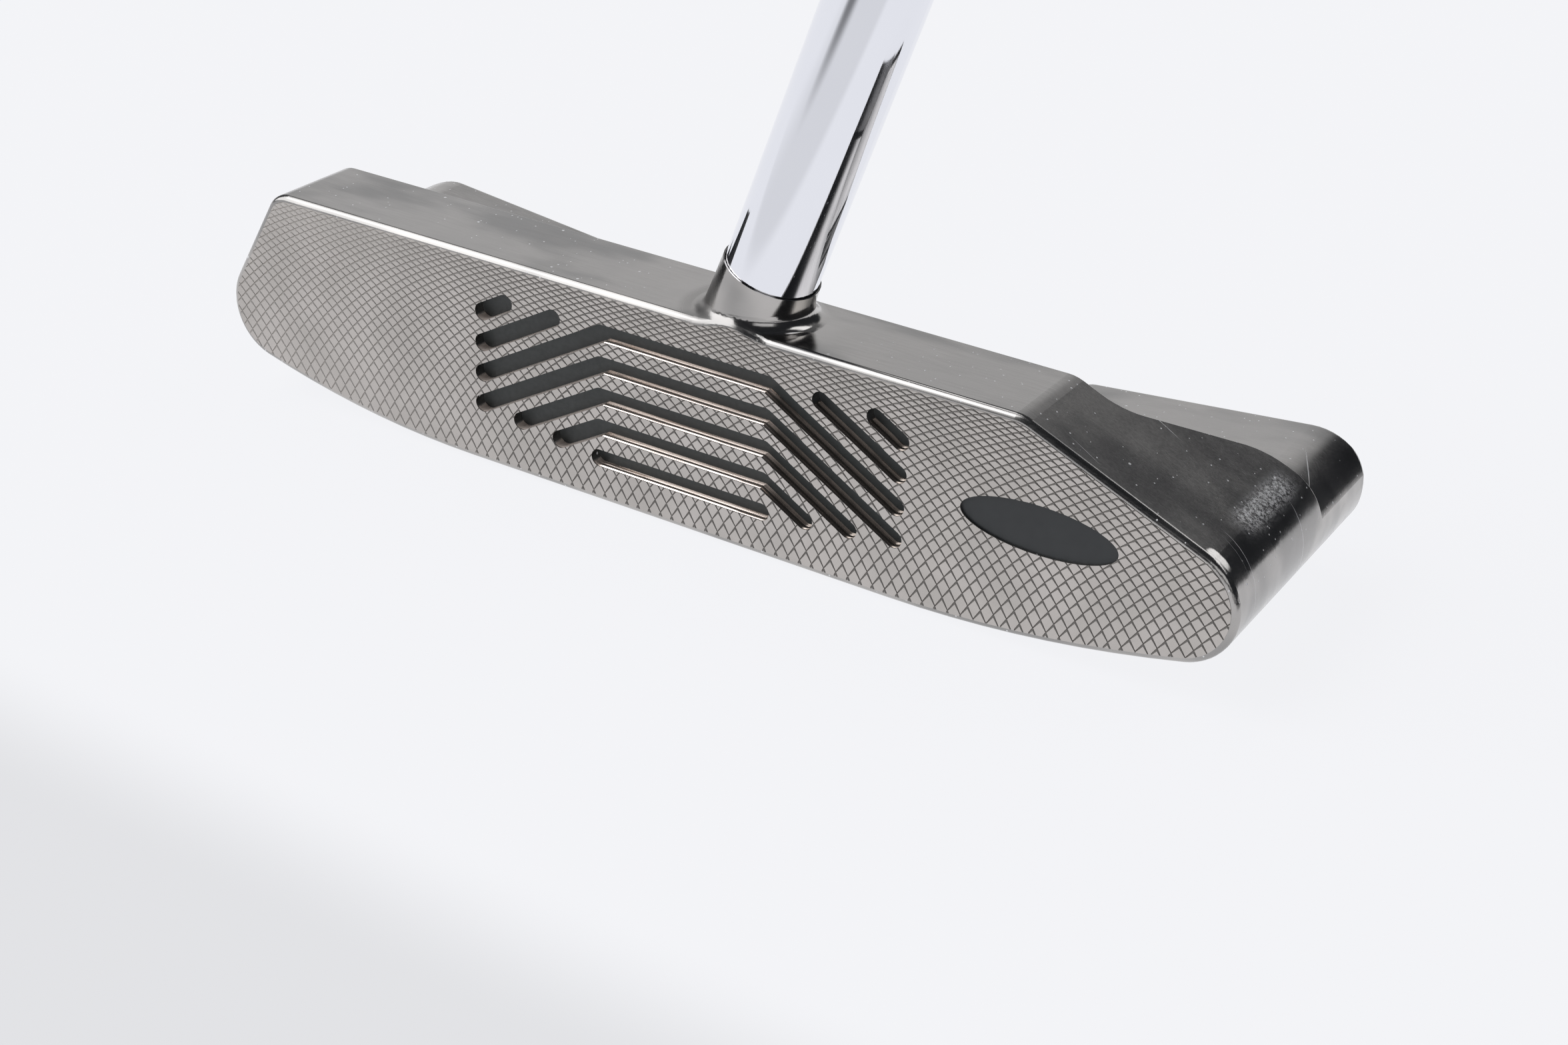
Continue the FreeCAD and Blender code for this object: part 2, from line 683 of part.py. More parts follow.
def make_face_pieces(doc, d):
    """The groove fills and both paints, and the cutters of the recesses that they lie in."""
    fills, cutters = [], []
    fill_floor = d["groove_recess"] + d["fill_thickness"]
    for name, path in groove_paths(d).items():
        band = groove_band(doc, d, name, path)
        cutters.append(extrude_back(doc, f"{name}_cutter", band, -CLEAR, fill_floor))
        fills.append(extrude_back(doc, name, band, d["groove_recess"], fill_floor))
    outline = mark_outline(doc, d)
    cutters.append(extrude_back(doc, "MarkCutter", outline, -CLEAR, d["mark_recess"]))
    paint = extrude_back(doc, "face_mark_paint", outline,
                         d["mark_recess"] - d["mark_paint"], d["mark_recess"])
    line_floor = d["flange_height"] - d["sight_line_depth"]
    cutters.append(sight_line(doc, d, "SightLineCutter", line_floor, d["flange_height"] + CLEAR))
    line = sight_line(doc, d, "sight_line_paint", line_floor, line_floor + d["sight_line_paint"],
                      d["face_setback"])
    return fills + [paint], line, cutters


# ---------------------------------------------------------------- shaft and grip

def shaft_profile(d, bore):
    """One side of the stepped tube, from tip to butt: its outside, or its bore."""
    inset = d["shaft_wall"] if bore else 0
    radius, level = d["shaft_tip_radius"] - inset, d["shaft_tip_length"]
    points = [(radius, d["shaft_seat"]), (radius, level)]
    for _ in range(SHAFT_STEPS):
        radius = radius + d["shaft_step_rise"]
        points.append((radius, level + d["shaft_step_cone"]))
        level = level + d["shaft_step_length"]
        points.append((radius, level))
    points[-1] = (radius, d["shaft_end"])
    return points


def turned_piece(doc, name, points):
    """A body turned round its own Z from a closed half profile."""
    body = new_body(doc, name)
    sketch = plane_sketch(body, f"{name}_profile", "XZ_Plane")
    draw_chain(sketch, points)
    revolve(body, f"{name}_turn", sketch)
    return body


def make_shaft(doc, d):
    return turned_piece(doc, "shaft", shaft_profile(d, False) + shaft_profile(d, True)[::-1])


def make_glue(doc, d):
    """The adhesive round the shaft's tip: outside it in the socket, and inside it on the post."""
    bore = d["shaft_tip_radius"] - d["shaft_wall"]
    post_top = d["post_length"] - d["post_chamfer"]
    return turned_piece(doc, "hosel_epoxy", [
        (d["post_radius"], 0),
        (d["socket_radius"], 0),
        (d["socket_radius"], d["glue_height"]),
        (d["shaft_tip_radius"], d["glue_height"]),
        (d["shaft_tip_radius"], d["shaft_seat"]),
        (bore, d["shaft_seat"]),
        (bore, post_top),
        (d["post_radius"], post_top),
    ])


def butt_radius(d):
    return d["shaft_tip_radius"] + d["shaft_step_rise"] * SHAFT_STEPS


def make_tape(doc, d):
    start = d["shaft_end"] - d["grip_length"] + d["tape_start"]
    return turned_piece(doc, "grip_tape", [
        (butt_radius(d), start),
        (d["grip_bore"], start),
        (d["grip_bore"], d["shaft_end"]),
        (butt_radius(d), d["shaft_end"]),
    ])


def grip_section(flat, half, back, corner):
    """One closed section: a flat with two round corners, and a half ellipse behind them."""
    mid = -flat + corner
    side = half - corner
    low = -math.pi / 2
    upper = Part.ArcOfCircle(Part.Circle(Vector(mid, side, 0), Vector(0, 0, 1), corner),
                             math.pi / 2, math.pi)
    lower = Part.ArcOfCircle(Part.Circle(Vector(mid, -side, 0), Vector(0, 0, 1), corner),
                             math.pi, math.pi * 1.5)
    front = Part.LineSegment(Vector(-flat, side, 0), Vector(-flat, -side, 0))
    reach = back - mid
    if reach >= half:
        ellipse = Part.Ellipse(Vector(back, 0, 0), Vector(mid, half, 0), Vector(mid, 0, 0))
        rear = Part.ArcOfEllipse(ellipse, low, -low)
    else:
        ellipse = Part.Ellipse(Vector(mid, half, 0), Vector(back, 0, 0), Vector(mid, 0, 0))
        rear = Part.ArcOfEllipse(ellipse, -math.pi, 0)
    return Part.Wire(Part.__sortEdges__([piece.toShape() for piece in (front, lower, rear, upper)]))


def lofted_grip(d):
    """The full grip form from its mouth to the end of its cap, as one solid."""
    start = number(d["shaft_end"] - d["grip_length"])
    length = number(d["grip_length"] + d["cap_thickness"])
    wires = []
    for station in range(len(GRIP_SECTIONS)):
        part, *sizes = [number(d[f"grip_{field}_station_{station}"]) for field in GRIP_FIELDS]
        wire = grip_section(*sizes)
        wire.translate(Vector(0, 0, start + part * length))
        wires.append(wire)
    return Part.makeLoft(wires, True, False)


def make_grip(doc, d):
    """The rubber grip and the hard cap in its butt, cut from one moulded form."""
    form = doc.addObject("Part::Feature", "GripForm")
    form.Shape = lofted_grip(d)
    wide = d["grip_length"]
    end = d["shaft_end"]
    below = box(doc, "GripLength", (-wide, -wide, 0), (wide, wide, end))
    above = box(doc, "CapLength", (-wide, -wide, end), (wide, wide, end + MARGIN))
    sleeve = boolean(doc, "Common", "GripSleeve", form, below)
    bore = doc.addObject("Part::Cylinder", "GripBore")
    drive(bore, "Radius", d["grip_bore"])
    drive(bore, "Height", end + MARGIN)
    grip = boolean(doc, "Cut", "Grip", sleeve, bore)
    grip.Label = "grip"

    disc = boolean(doc, "Common", "CapDisc", form, above)
    cap_top = number(end + d["cap_thickness"])
    domed = round_solid(doc, "CapDome", disc, d["cap_edge_round"],
                        lambda edge: edge.BoundBox.ZMin > cap_top - TOUCH)
    vent = doc.addObject("Part::Cylinder", "VentHole")
    drive(vent, "Radius", d["vent_radius"])
    drive(vent, "Height", end + MARGIN)
    cap = boolean(doc, "Cut", "GripCap", domed, vent)
    cap.Label = "grip_cap"
    return [grip, cap]


# ---------------------------------------------------------------- assembly and files

def check(doc, nodes):
    """Stop on any failed object, and on any node whose shape isn't one valid solid."""
    for obj in doc.Objects:
        if "Invalid" in obj.State or "Error" in obj.State:
            raise RuntimeError(f"{obj.Name} failed: {obj.State}")
    for node in nodes:
        shape = node.Shape
        if shape.isNull() or not shape.isValid() or len(shape.Solids) != 1:
            raise RuntimeError(f"{node.Label} is not one valid solid")


def main():
    doc = FreeCAD.newDocument("Putter")
    d = make_sheet(doc)
    face_pieces, line, cutters = make_face_pieces(doc, d)
    head = make_head(doc, d, cutters)
    shaft_pieces = [make_glue(doc, d), make_shaft(doc, d), make_tape(doc, d)] + make_grip(doc, d)
    doc.recompute()

    forward = Placement(Vector(0, -number(d["face_setback"]), 0), Rotation())
    socket_floor = on_shaft_axis(d, number(d["collar_height"] - d["socket_depth"]))
    for node in [head] + face_pieces:
        node.Placement = forward.multiply(node.Placement)
    for node in shaft_pieces:
        node.Placement = forward.multiply(socket_floor)
    doc.recompute()

    nodes = [head] + face_pieces + [line] + shaft_pieces
    check(doc, nodes)
    os.makedirs("parts", exist_ok=True)
    for node in nodes:
        node.Shape.exportStep(os.path.join("parts", f"{node.Label}.step"))
        bounds = node.Shape.BoundBox
        print(f"{node.Label:24s} volume {node.Shape.Volume:9.1f} mm3  "
              f"x {bounds.XMin:7.2f}..{bounds.XMax:7.2f}  y {bounds.YMin:7.2f}..{bounds.YMax:7.2f}  "
              f"z {bounds.ZMin:7.2f}..{bounds.ZMax:7.2f}")


main()
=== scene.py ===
"""The looks of the blade putter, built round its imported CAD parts."""
import json
import math
from collections import defaultdict

import bmesh
import bpy
from mathutils import Matrix, Vector


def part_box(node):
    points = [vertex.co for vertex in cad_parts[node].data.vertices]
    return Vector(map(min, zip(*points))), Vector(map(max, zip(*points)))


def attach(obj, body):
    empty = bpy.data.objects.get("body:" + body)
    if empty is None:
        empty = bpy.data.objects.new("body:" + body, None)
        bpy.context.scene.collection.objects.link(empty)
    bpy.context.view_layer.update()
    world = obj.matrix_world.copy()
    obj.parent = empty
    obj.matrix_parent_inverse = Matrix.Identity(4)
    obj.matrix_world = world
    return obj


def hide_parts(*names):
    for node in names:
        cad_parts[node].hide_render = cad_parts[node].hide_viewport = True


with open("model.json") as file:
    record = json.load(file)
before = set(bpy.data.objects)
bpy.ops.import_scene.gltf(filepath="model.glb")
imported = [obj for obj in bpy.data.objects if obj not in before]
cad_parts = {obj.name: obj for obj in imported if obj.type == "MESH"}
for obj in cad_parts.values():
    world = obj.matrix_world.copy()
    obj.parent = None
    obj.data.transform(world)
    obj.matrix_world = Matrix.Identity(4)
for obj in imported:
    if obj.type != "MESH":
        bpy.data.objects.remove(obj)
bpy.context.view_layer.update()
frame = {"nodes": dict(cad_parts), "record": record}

MM = 0.001
nodes = frame["nodes"]
mounts = {mount["name"]: mount for mount in frame["record"]["mounts"]}
# how far the grooves' fills lie behind the plane of the strike face
GROOVE_DEPTH = 1.25 * MM
FACE_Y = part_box("chevron_fill_1")[0].y - GROOVE_DEPTH


# ---------------------------------------------------------------- shader helpers

# nearly all values of a noise texture lie in this range
NOISE_SPAN = (0.3, 0.7)


def wire_math(tree, operation, *inputs):
    """A math node fed with sockets or plain numbers; gives its result."""
    node = tree.nodes.new("ShaderNodeMath")
    node.operation = operation
    for socket, value in zip(node.inputs, inputs):
        if isinstance(value, (int, float)):
            socket.default_value = value
        else:
            tree.links.new(value, socket)
    return node.outputs[0]


def wire_step(tree, value, start, end, low, high):
    """A smooth step between two angles in degrees."""
    node = tree.nodes.new("ShaderNodeMapRange")
    node.interpolation_type = "SMOOTHSTEP"
    tree.links.new(value, node.inputs["Value"])
    node.inputs["From Min"].default_value = math.radians(start)
    node.inputs["From Max"].default_value = math.radians(end)
    node.inputs["To Min"].default_value = low
    node.inputs["To Max"].default_value = high
    return node.outputs["Result"]


class Surface:
    """A Principled material under construction, with object coordinates in metres."""

    def __init__(self, name, metallic=0.0):
        self.material = bpy.data.materials.new(name)
        self.material.use_nodes = True
        self.tree = self.material.node_tree
        self.shader = self.tree.nodes["Principled BSDF"]
        self.shader.inputs["Metallic"].default_value = metallic
        coordinates = self.tree.nodes.new("ShaderNodeTexCoord")
        self.place = coordinates.outputs["Object"]
        self.facing = coordinates.outputs["Normal"]

    def add(self, kind, **inputs):
        """A node of this kind, with its sockets fed by name."""
        node = self.tree.nodes.new(f"ShaderNode{kind}")
        for name, value in inputs.items():
            self.feed(node.inputs[name.replace("_", " ")], value)
        return node

    def feed(self, socket, value):
        """Link a socket to a socket, or set it to a constant."""
        if isinstance(value, bpy.types.NodeSocket):
            self.tree.links.new(value, socket)
        else:
            socket.default_value = value

    def set(self, socket, value):
        """Feed one of the Principled shader's sockets."""
        self.feed(self.shader.inputs[socket], value)

    def finish(self, shader):
        """Send another shader to the surface in place of the Principled one."""
        self.tree.nodes.remove(self.shader)
        self.tree.links.new(shader, self.tree.nodes["Material Output"].inputs["Surface"])

    def axes(self, vector=None):
        """The three object coordinates, or those of another vector, each on its own."""
        return self.add("SeparateXYZ", Vector=vector or self.place).outputs

    def stretch(self, scale, turn=(0, 0, 0)):
        """Object coordinates, turned in degrees and then scaled along each axis."""
        turned = self.add("Mapping", Vector=self.place, Rotation=[math.radians(a) for a in turn])
        return self.add("Mapping", Vector=turned.outputs[0], Scale=scale).outputs[0]

    def distance(self, point):
        """How far the surface lies from a point of the object, in metres."""
        return self.vector("DISTANCE", self.place, point)

    def noise(self, scale, detail=2.0, roughness=0.5, vector=None):
        """A noise of scale features per metre, or per unit of another vector."""
        place = vector or self.place
        node = self.add("TexNoise", Vector=place, Scale=scale, Detail=detail, Roughness=roughness)
        return node.outputs["Fac"]

    def cells(self, scale, vector=None):
        """The distance to the nearest cell's centre, and a number of that cell's own."""
        node = self.add("TexVoronoi", Vector=vector or self.place, Scale=scale)
        own = self.add("SeparateColor", Color=node.outputs["Color"]).outputs[0]
        return node.outputs["Distance"], own

    def ramp(self, value, start, end, low=0.0, high=1.0, smooth=True):
        """From low at start to high at end, and level beyond them."""
        node = self.add("MapRange", Value=value, From_Min=start, From_Max=end, To_Min=low, To_Max=high)
        node.interpolation_type = "SMOOTHSTEP" if smooth else "LINEAR"
        return node.outputs["Result"]

    def band(self, value, start, end, soft):
        """One between two values and nothing outside them, with soft edges inside the range."""
        rise = self.ramp(value, start, start + soft)
        return self.math("MULTIPLY", rise, self.ramp(value, end - soft, end, 1, 0))

    def math(self, operation, *inputs):
        return wire_math(self.tree, operation, *inputs)

    def join(self, operation, total, *others):
        """One math operation carried on through several values."""
        for other in others:
            total = self.math(operation, total, other)
        return total

    def product(self, *shares):
        return self.join("MULTIPLY", *shares)

    def largest(self, *shares):
        return self.join("MAXIMUM", *shares)

    def opposite(self, share):
        """What a share leaves of one."""
        return self.math("SUBTRACT", 1.0, share)

    def vector(self, operation, *inputs):
        """A vector math node; gives its number or its vector."""
        node = self.tree.nodes.new("ShaderNodeVectorMath")
        node.operation = operation
        sockets = (node.inputs[0], node.inputs[3]) if operation == "SCALE" else node.inputs
        for socket, value in zip(sockets, inputs):
            self.feed(socket, value)
        return node.outputs[1 if operation in ("DISTANCE", "DOT_PRODUCT") else 0]

    def mix(self, share, first, second):
        """A colour between two others, each a socket or an RGB triple."""
        node = self.tree.nodes.new("ShaderNodeMix")
        node.data_type = "RGBA"
        self.feed(node.inputs["Factor"], share)
        for socket, value in ((node.inputs[6], first), (node.inputs[7], second)):
            self.feed(socket, (*value, 1) if isinstance(value, tuple) else value)
        return node.outputs[2]

    def mottle(self, dark, light, scale, detail=2.0):
        """A base colour that drifts between two."""
        self.set("Base Color", self.mix(self.noise(scale, detail), dark, light))

    def vary_roughness(self, low, high, scale, detail=2.0):
        """A roughness that drifts between two values."""
        self.set("Roughness", self.ramp(self.noise(scale, detail), *NOISE_SPAN, low, high))

    def bump(self, height, distance, strength=0.5):
        """Raise the surface by a height times a distance in metres, on top of any earlier change."""
        node = self.add("Bump", Height=height, Distance=distance, Strength=strength)
        previous = self.shader.inputs["Normal"]
        if previous.is_linked:
            self.tree.links.new(previous.links[0].from_socket, node.inputs["Normal"])
        self.tree.links.new(node.outputs[0], previous)

    def lean(self, *tilts):
        """Tilt the shading normal by shares of vectors given in the object's own axes."""
        turned = self.facing
        for towards, share in tilts:
            turned = self.vector("ADD", turned, self.vector("SCALE", towards, share))
        node = self.add("VectorTransform", Vector=self.vector("NORMALIZE", turned))
        node.vector_type = "NORMAL"
        node.convert_from = "OBJECT"
        node.convert_to = "WORLD"
        self.set("Normal", node.outputs[0])


# ---------------------------------------------------------------- camera, floor and studio

CAMERA_AT = Vector((0.11734, -0.19261, 0.11715))
# in degrees: the turn from +Y towards -X, the angle above level, and the roll
CAMERA_AZIMUTH = 30.19
CAMERA_TILT = -28.32
CAMERA_ROLL = 3.15
CAMERA_SENSOR = 36.0
CAMERA_LENS = 56.29
CAMERA_NEAR = 0.005
CAMERA_FAR = 60.0


def aim_camera():
    """The photograph's camera: close in front of the face, from the heel side, looking down."""
    data = bpy.data.cameras.new("camera")
    data.sensor_width = CAMERA_SENSOR
    data.lens = CAMERA_LENS
    data.clip_start = CAMERA_NEAR
    data.clip_end = CAMERA_FAR
    azimuth = math.radians(CAMERA_AZIMUTH)
    tilt = math.radians(CAMERA_TILT)
    level = math.cos(tilt)
    forward = Vector((-math.sin(azimuth) * level, math.cos(azimuth) * level, math.sin(tilt)))
    right = forward.cross(Vector((0, 0, 1))).normalized()
    right.rotate(Matrix.Rotation(math.radians(-CAMERA_ROLL), 3, forward))
    up = right.cross(forward)
    camera = bpy.data.objects.new("camera", data)
    camera.matrix_world = Matrix((right, up, -forward)).transposed().to_4x4()
    camera.location = CAMERA_AT
    bpy.context.scene.collection.objects.link(camera)
    bpy.context.scene.camera = camera


FLOOR_Z = -0.3 * MM
FLOOR_REACH = 30.0
PAPER = (0.895, 0.90, 0.925)
PAPER_GLOW = 0.96
PAPER_DIFFUSE = (0.06, 0.06, 0.062)
# a soft shade on the paper in front of the head: where it fades in and out, and the light it leaves
SHADE_NEAR_Y = (-0.066, -0.082)
SHADE_FAR_Y = (-0.34, -0.14)
SHADE_TOE_X = (-0.30, -0.08)
SHADE_HEEL_X = (0.045, 0.22)
SHADE_LEVEL = 0.84
# darker paper that only shows in the metal: its edge past the heel, and a spot in front of the toe
PAPER_EDGE_X = (0.10, 0.13)
PAPER_EDGE_Y = (-0.16, 0.07)
PAPER_EDGE_SOFT = 0.03
DARK_SPOT = Vector((-0.095, -0.202, 0.0))
DARK_SPOT_FADE = (0.02, 0.085)
DARK_SPOT_SHARE = 0.75


def paper_material():
    """Paper that glows like the sweep behind it and still takes the head's faint contact shadow."""
    s = Surface("floor")
    x, y, _ = s.axes()
    along = s.product(s.ramp(y, *SHADE_NEAR_Y), s.ramp(y, *SHADE_FAR_Y))
    across = s.product(s.ramp(x, *SHADE_TOE_X), s.ramp(x, *SHADE_HEEL_X, 1, 0))
    shade = s.product(along, across)
    level = s.ramp(shade, 0, 1, PAPER_GLOW, PAPER_GLOW * SHADE_LEVEL, smooth=False)
    past_edge = s.product(s.ramp(x, *PAPER_EDGE_X), s.band(y, *PAPER_EDGE_Y, PAPER_EDGE_SOFT))
    spot = s.ramp(s.distance(DARK_SPOT), *DARK_SPOT_FADE, DARK_SPOT_SHARE, 0)
    reflected = s.opposite(s.largest(past_edge, spot))
    straight = s.add("LightPath").outputs["Is Camera Ray"]
    level = s.product(level, s.largest(straight, reflected))
    glow = s.add("Emission", Color=(*PAPER, 1), Strength=level)
    diffuse = s.add("BsdfDiffuse", Color=(*PAPER_DIFFUSE, 1))
    both = s.add("AddShader")
    s.feed(both.inputs[0], glow.outputs[0])
    s.feed(both.inputs[1], diffuse.outputs[0])
    s.finish(both.outputs[0])
    return s.material


def lay_floor():
    """A pale floor just under the sole."""
    mesh = bpy.data.meshes.new("floor")
    reach = FLOOR_REACH
    corners = [(-reach, -reach, 0), (reach, -reach, 0), (reach, reach, 0), (-reach, reach, 0)]
    mesh.from_pydata(corners, [], [(0, 1, 2, 3)])
    mesh.materials.append(paper_material())
    floor = bpy.data.objects.new("floor", mesh)
    floor.location.z = FLOOR_Z
    bpy.context.scene.collection.objects.link(floor)


# studio panels, in degrees: azimuths from +Y towards +X, elevations, softness of both, and the brightness
PANELS = [
    ("back_sweep", (-54, 7), (-90, 35), (12, 7), 0.66),
    ("key_box", (-156, -92), (2, 62), (5, 8), 2.2),
    ("key_top", (-152, -36), (40, 80), (5, 8), 2.0),
    ("left_fill", (-74, -40), (-12, 9), (10, 4), 0.5),
    ("ceiling", (-25, 36), (26, 52), (14, 10), 0.12),
    ("side_box", (8, 82), (38, 56), (12, 5), 1.8),
    ("rear_box", (120, 172), (6, 38), (12, 8), 0.8),
]
PANEL_TINT = (0.98, 0.985, 1.0)
ROOM = (0.026, 0.028, 0.032)


def panel_light(tree):
    """The brightness of all the panels together, by direction."""
    coordinates = tree.nodes.new("ShaderNodeTexCoord")
    split = tree.nodes.new("ShaderNodeSeparateXYZ")
    tree.links.new(coordinates.outputs["Generated"], split.inputs[0])
    azimuth = wire_math(tree, "ARCTAN2", split.outputs["X"], split.outputs["Y"])
    elevation = wire_math(tree, "ARCSINE", split.outputs["Z"])
    total = 0.0
    for _, azimuths, elevations, softness, light in PANELS:
        for angle, (low, high), soft in zip((azimuth, elevation), (azimuths, elevations), softness):
            light = wire_math(tree, "MULTIPLY", light, wire_step(tree, angle, low, low + soft, 0, 1))
            light = wire_math(tree, "MULTIPLY", light, wire_step(tree, angle, high - soft, high, 1, 0))
        total = wire_math(tree, "ADD", total, light)
    return total


def light_studio():
    """A dark room with soft panels for light and reflections; the camera itself sees the pale sweep."""
    world = bpy.data.worlds.new("studio")
    bpy.context.scene.world = world
    world.use_nodes = True
    tree = world.node_tree
    tree.nodes.clear()
    tint = tree.nodes.new("ShaderNodeVectorMath")
    tint.operation = "SCALE"
    tint.inputs[0].default_value = PANEL_TINT
    tree.links.new(panel_light(tree), tint.inputs["Scale"])
    room = tree.nodes.new("ShaderNodeVectorMath")
    room.operation = "ADD"
    room.inputs[1].default_value = ROOM
    tree.links.new(tint.outputs[0], room.inputs[0])
    panels = tree.nodes.new("ShaderNodeBackground")
    tree.links.new(room.outputs[0], panels.inputs["Color"])
    sweep = tree.nodes.new("ShaderNodeBackground")
    sweep.inputs["Color"].default_value = (*PAPER, 1)
    path = tree.nodes.new("ShaderNodeLightPath")
    seen = tree.nodes.new("ShaderNodeMixShader")
    tree.links.new(path.outputs["Is Camera Ray"], seen.inputs[0])
    tree.links.new(panels.outputs[0], seen.inputs[1])
    tree.links.new(sweep.outputs[0], seen.inputs[2])
    out = tree.nodes.new("ShaderNodeOutputWorld")
    tree.links.new(seen.outputs[0], out.inputs["Surface"])
    view = bpy.context.scene.view_settings
    view.view_transform = "Standard"
    view.look = "None"


# ---------------------------------------------------------------- the head's steel

STEEL = (0.505, 0.487, 0.468)
STEEL_DARK = (0.445, 0.43, 0.415)
SMUDGED = (0.28, 0.275, 0.27)
BURNISHED = (0.86, 0.75, 0.68)
BROWNED = (0.30, 0.26, 0.23)
DUST = (0.85, 0.85, 0.86)
# the scale along each axis of the smudges, of the brushing and of the streaks on the groove walls
SMUDGE_STRETCH = (38, 95, 60)
BRUSHING_STRETCH = (1, 22, 22)
STREAK_STRETCH = (70, 3200, 70)
# the roughness of the satin as its clouds vary, and what the brushing adds to it
SATIN_ROUGH = (0.15, 0.22)
BRUSHING_ROUGH = (-0.03, 0.04)
# the grooves' lower walls: where the pattern lies (with its soft edge), and how far up such a wall faces
WALL_X = (-27 * MM, 27 * MM, 0.1 * MM)
WALL_Y = (FACE_Y + 0.02 * MM, FACE_Y + 1.35 * MM, 0.02 * MM)
WALL_Z = (3 * MM, 20 * MM, 0.1 * MM)
WALL_FACES_UP = (0.5, 0.8)
WALL_ROUGH = 0.26
# the walls are browned on the pattern's heel side, and dull, with less metal to them, on its toe side
BROWNED_X = (9 * MM, 11 * MM)
DULL_X = (-11 * MM, -9 * MM)
DULL_SHARE = 0.8
# the lip and the root of a wall lean towards the front and catch the light; the strip between doesn't
LIP_Y = (FACE_Y + 0.30 * MM, FACE_Y + 0.38 * MM)
ROOT_Y = (FACE_Y + 0.62 * MM, FACE_Y + 0.72 * MM)
WALL_ROLL = (0.0, -0.85, 0.0)
# specks of dust: cells per metre, a speck's radius in cells, and the share of cells that stay clean
DUST_SPECKS = ((420, 0.08, 0.3), (1300, 0.15, 0.62))
# hairlines: their direction in degrees, and the share of cells that stay clean
HAIRLINES = ((12, 0.93), (64, 0.94))
# their cells per metre along and across, and how far from a cell's centre a hairline fades
HAIRLINE_CELLS = (70, 3400, 1)
HAIRLINE_WIDTH = (0.12, 0.3)
HAIRLINE_X = (38 * MM, 43 * MM)
HAIRLINE_SHARE = 0.7
# where the heel is scuffed, with the softness of each edge
SCUFF_X = (53.2 * MM, 57.2 * MM, 1.6 * MM)
SCUFF_Y = (-6.5 * MM, 8.5 * MM, 4 * MM)
SCUFF_Z = (12.5 * MM, 17.5 * MM, 0.8 * MM)
SCUFF_SHARE = 0.8
# how metallic and how rough the steel is where it is fully worn
WORN_METAL = 0.1
WORN_ROUGH = 0.5
# distances from the shaft's foot: where the wear begins, where the steel is shinier, where it is brushed
SHAFT_FOOT = Vector((0.00474, -0.0065, 0.023))
WORN_FROM = (8 * MM, 16 * MM)
SHINY_TO = (6 * MM, 12 * MM)
SHINY_SHARE = 0.7
BRUSHED_TO = (6.5 * MM, 9 * MM)
BRUSHED_X = (1.5 * MM, 4.5 * MM)
BRUSHED_ROUGH = 0.34
# the heel's lower corner, rubbed round: how far it reaches, and how its surface leans outwards
WORN_CORNER = Vector((0.0559, -0.0112, 0.0145))
CORNER_FADE = (0.4 * MM, 1.7 * MM)
CORNER_Y = (-11.45 * MM, -10.3 * MM, 0.35 * MM)
CORNER_TILT = (3.4, -1.86, 4.6)


def speck_mask(s, scale, radius, clean):
    """Small round specks, one in each cell that isn't clean."""
    away, own = s.cells(scale)
    return s.product(s.ramp(away, radius * 0.5, radius, 1, 0), s.ramp(own, clean, clean + 0.02))


def hairline_mask(s, turn, clean):
    """Long thin hairlines, all lying one way in plan."""
    away, own = s.cells(1, s.stretch(HAIRLINE_CELLS, (0, 0, turn)))
    return s.product(s.ramp(away, *HAIRLINE_WIDTH, 1, 0), s.ramp(own, clean, clean + 0.01))


def groove_walls(s):
    """The bare lower walls of the face's grooves."""
    x, y, z = s.axes()
    _, _, up = s.axes(s.facing)
    return s.product(s.band(y, *WALL_Y), s.band(z, *WALL_Z), s.band(x, *WALL_X), s.ramp(up, *WALL_FACES_UP))


def steel_wear(s, groove):
    """Dust, hairlines near the heel and scuffs at its end, with none in the grooves or round the collar."""
    x, y, z = s.axes()
    dust = s.largest(*[speck_mask(s, *specks) for specks in DUST_SPECKS])
    lines = s.largest(*[hairline_mask(s, *hairline) for hairline in HAIRLINES])
    lines = s.product(lines, s.ramp(x, *HAIRLINE_X), HAIRLINE_SHARE)
    patch = s.product(s.band(x, *SCUFF_X), s.band(y, *SCUFF_Y), s.band(z, *SCUFF_Z))
    scuff = s.product(patch, s.ramp(s.noise(2600, 6, 0.85), 0.40, 0.58), SCUFF_SHARE)
    worn = s.largest(dust, lines, scuff)
    return s.product(worn, s.opposite(groove), s.ramp(s.distance(SHAFT_FOOT), *WORN_FROM))


def steel_colour(s, cloud, groove, worn):
    """Clouded and smudged nickel, burnished groove walls that are browned towards the heel, and the wear."""
    x, _, _ = s.axes()
    smudge = s.noise(1, 3, 0.6, s.stretch(SMUDGE_STRETCH))
    nickel = s.mix(s.ramp(cloud, 0.35, 0.7), STEEL_DARK, STEEL)
    nickel = s.mix(s.ramp(smudge, 0.42, 0.62, 0, 0.8), nickel, SMUDGED)
    wall = s.mix(s.ramp(x, *BROWNED_X), BURNISHED, BROWNED)
    return s.mix(worn, s.mix(groove, nickel, wall), DUST)


def steel_roughness(s, cloud, brushing, groove, worn):
    """Satin all over, shinier round the collar, brushed on the collar's toe side, and rougher where worn."""
    x, _, _ = s.axes()
    away = s.distance(SHAFT_FOOT)
    satin = s.ramp(cloud, *NOISE_SPAN, *SATIN_ROUGH)
    satin = s.math("ADD", satin, s.ramp(brushing, *NOISE_SPAN, *BRUSHING_ROUGH))
    satin = s.product(satin, s.ramp(away, *SHINY_TO, SHINY_SHARE, 1.0))
    brushed = s.product(s.ramp(away, *BRUSHED_TO, 1, 0), s.ramp(x, *BRUSHED_X, 1, 0), BRUSHED_ROUGH)
    return s.largest(satin, s.product(worn, WORN_ROUGH), brushed, s.product(groove, WALL_ROUGH))


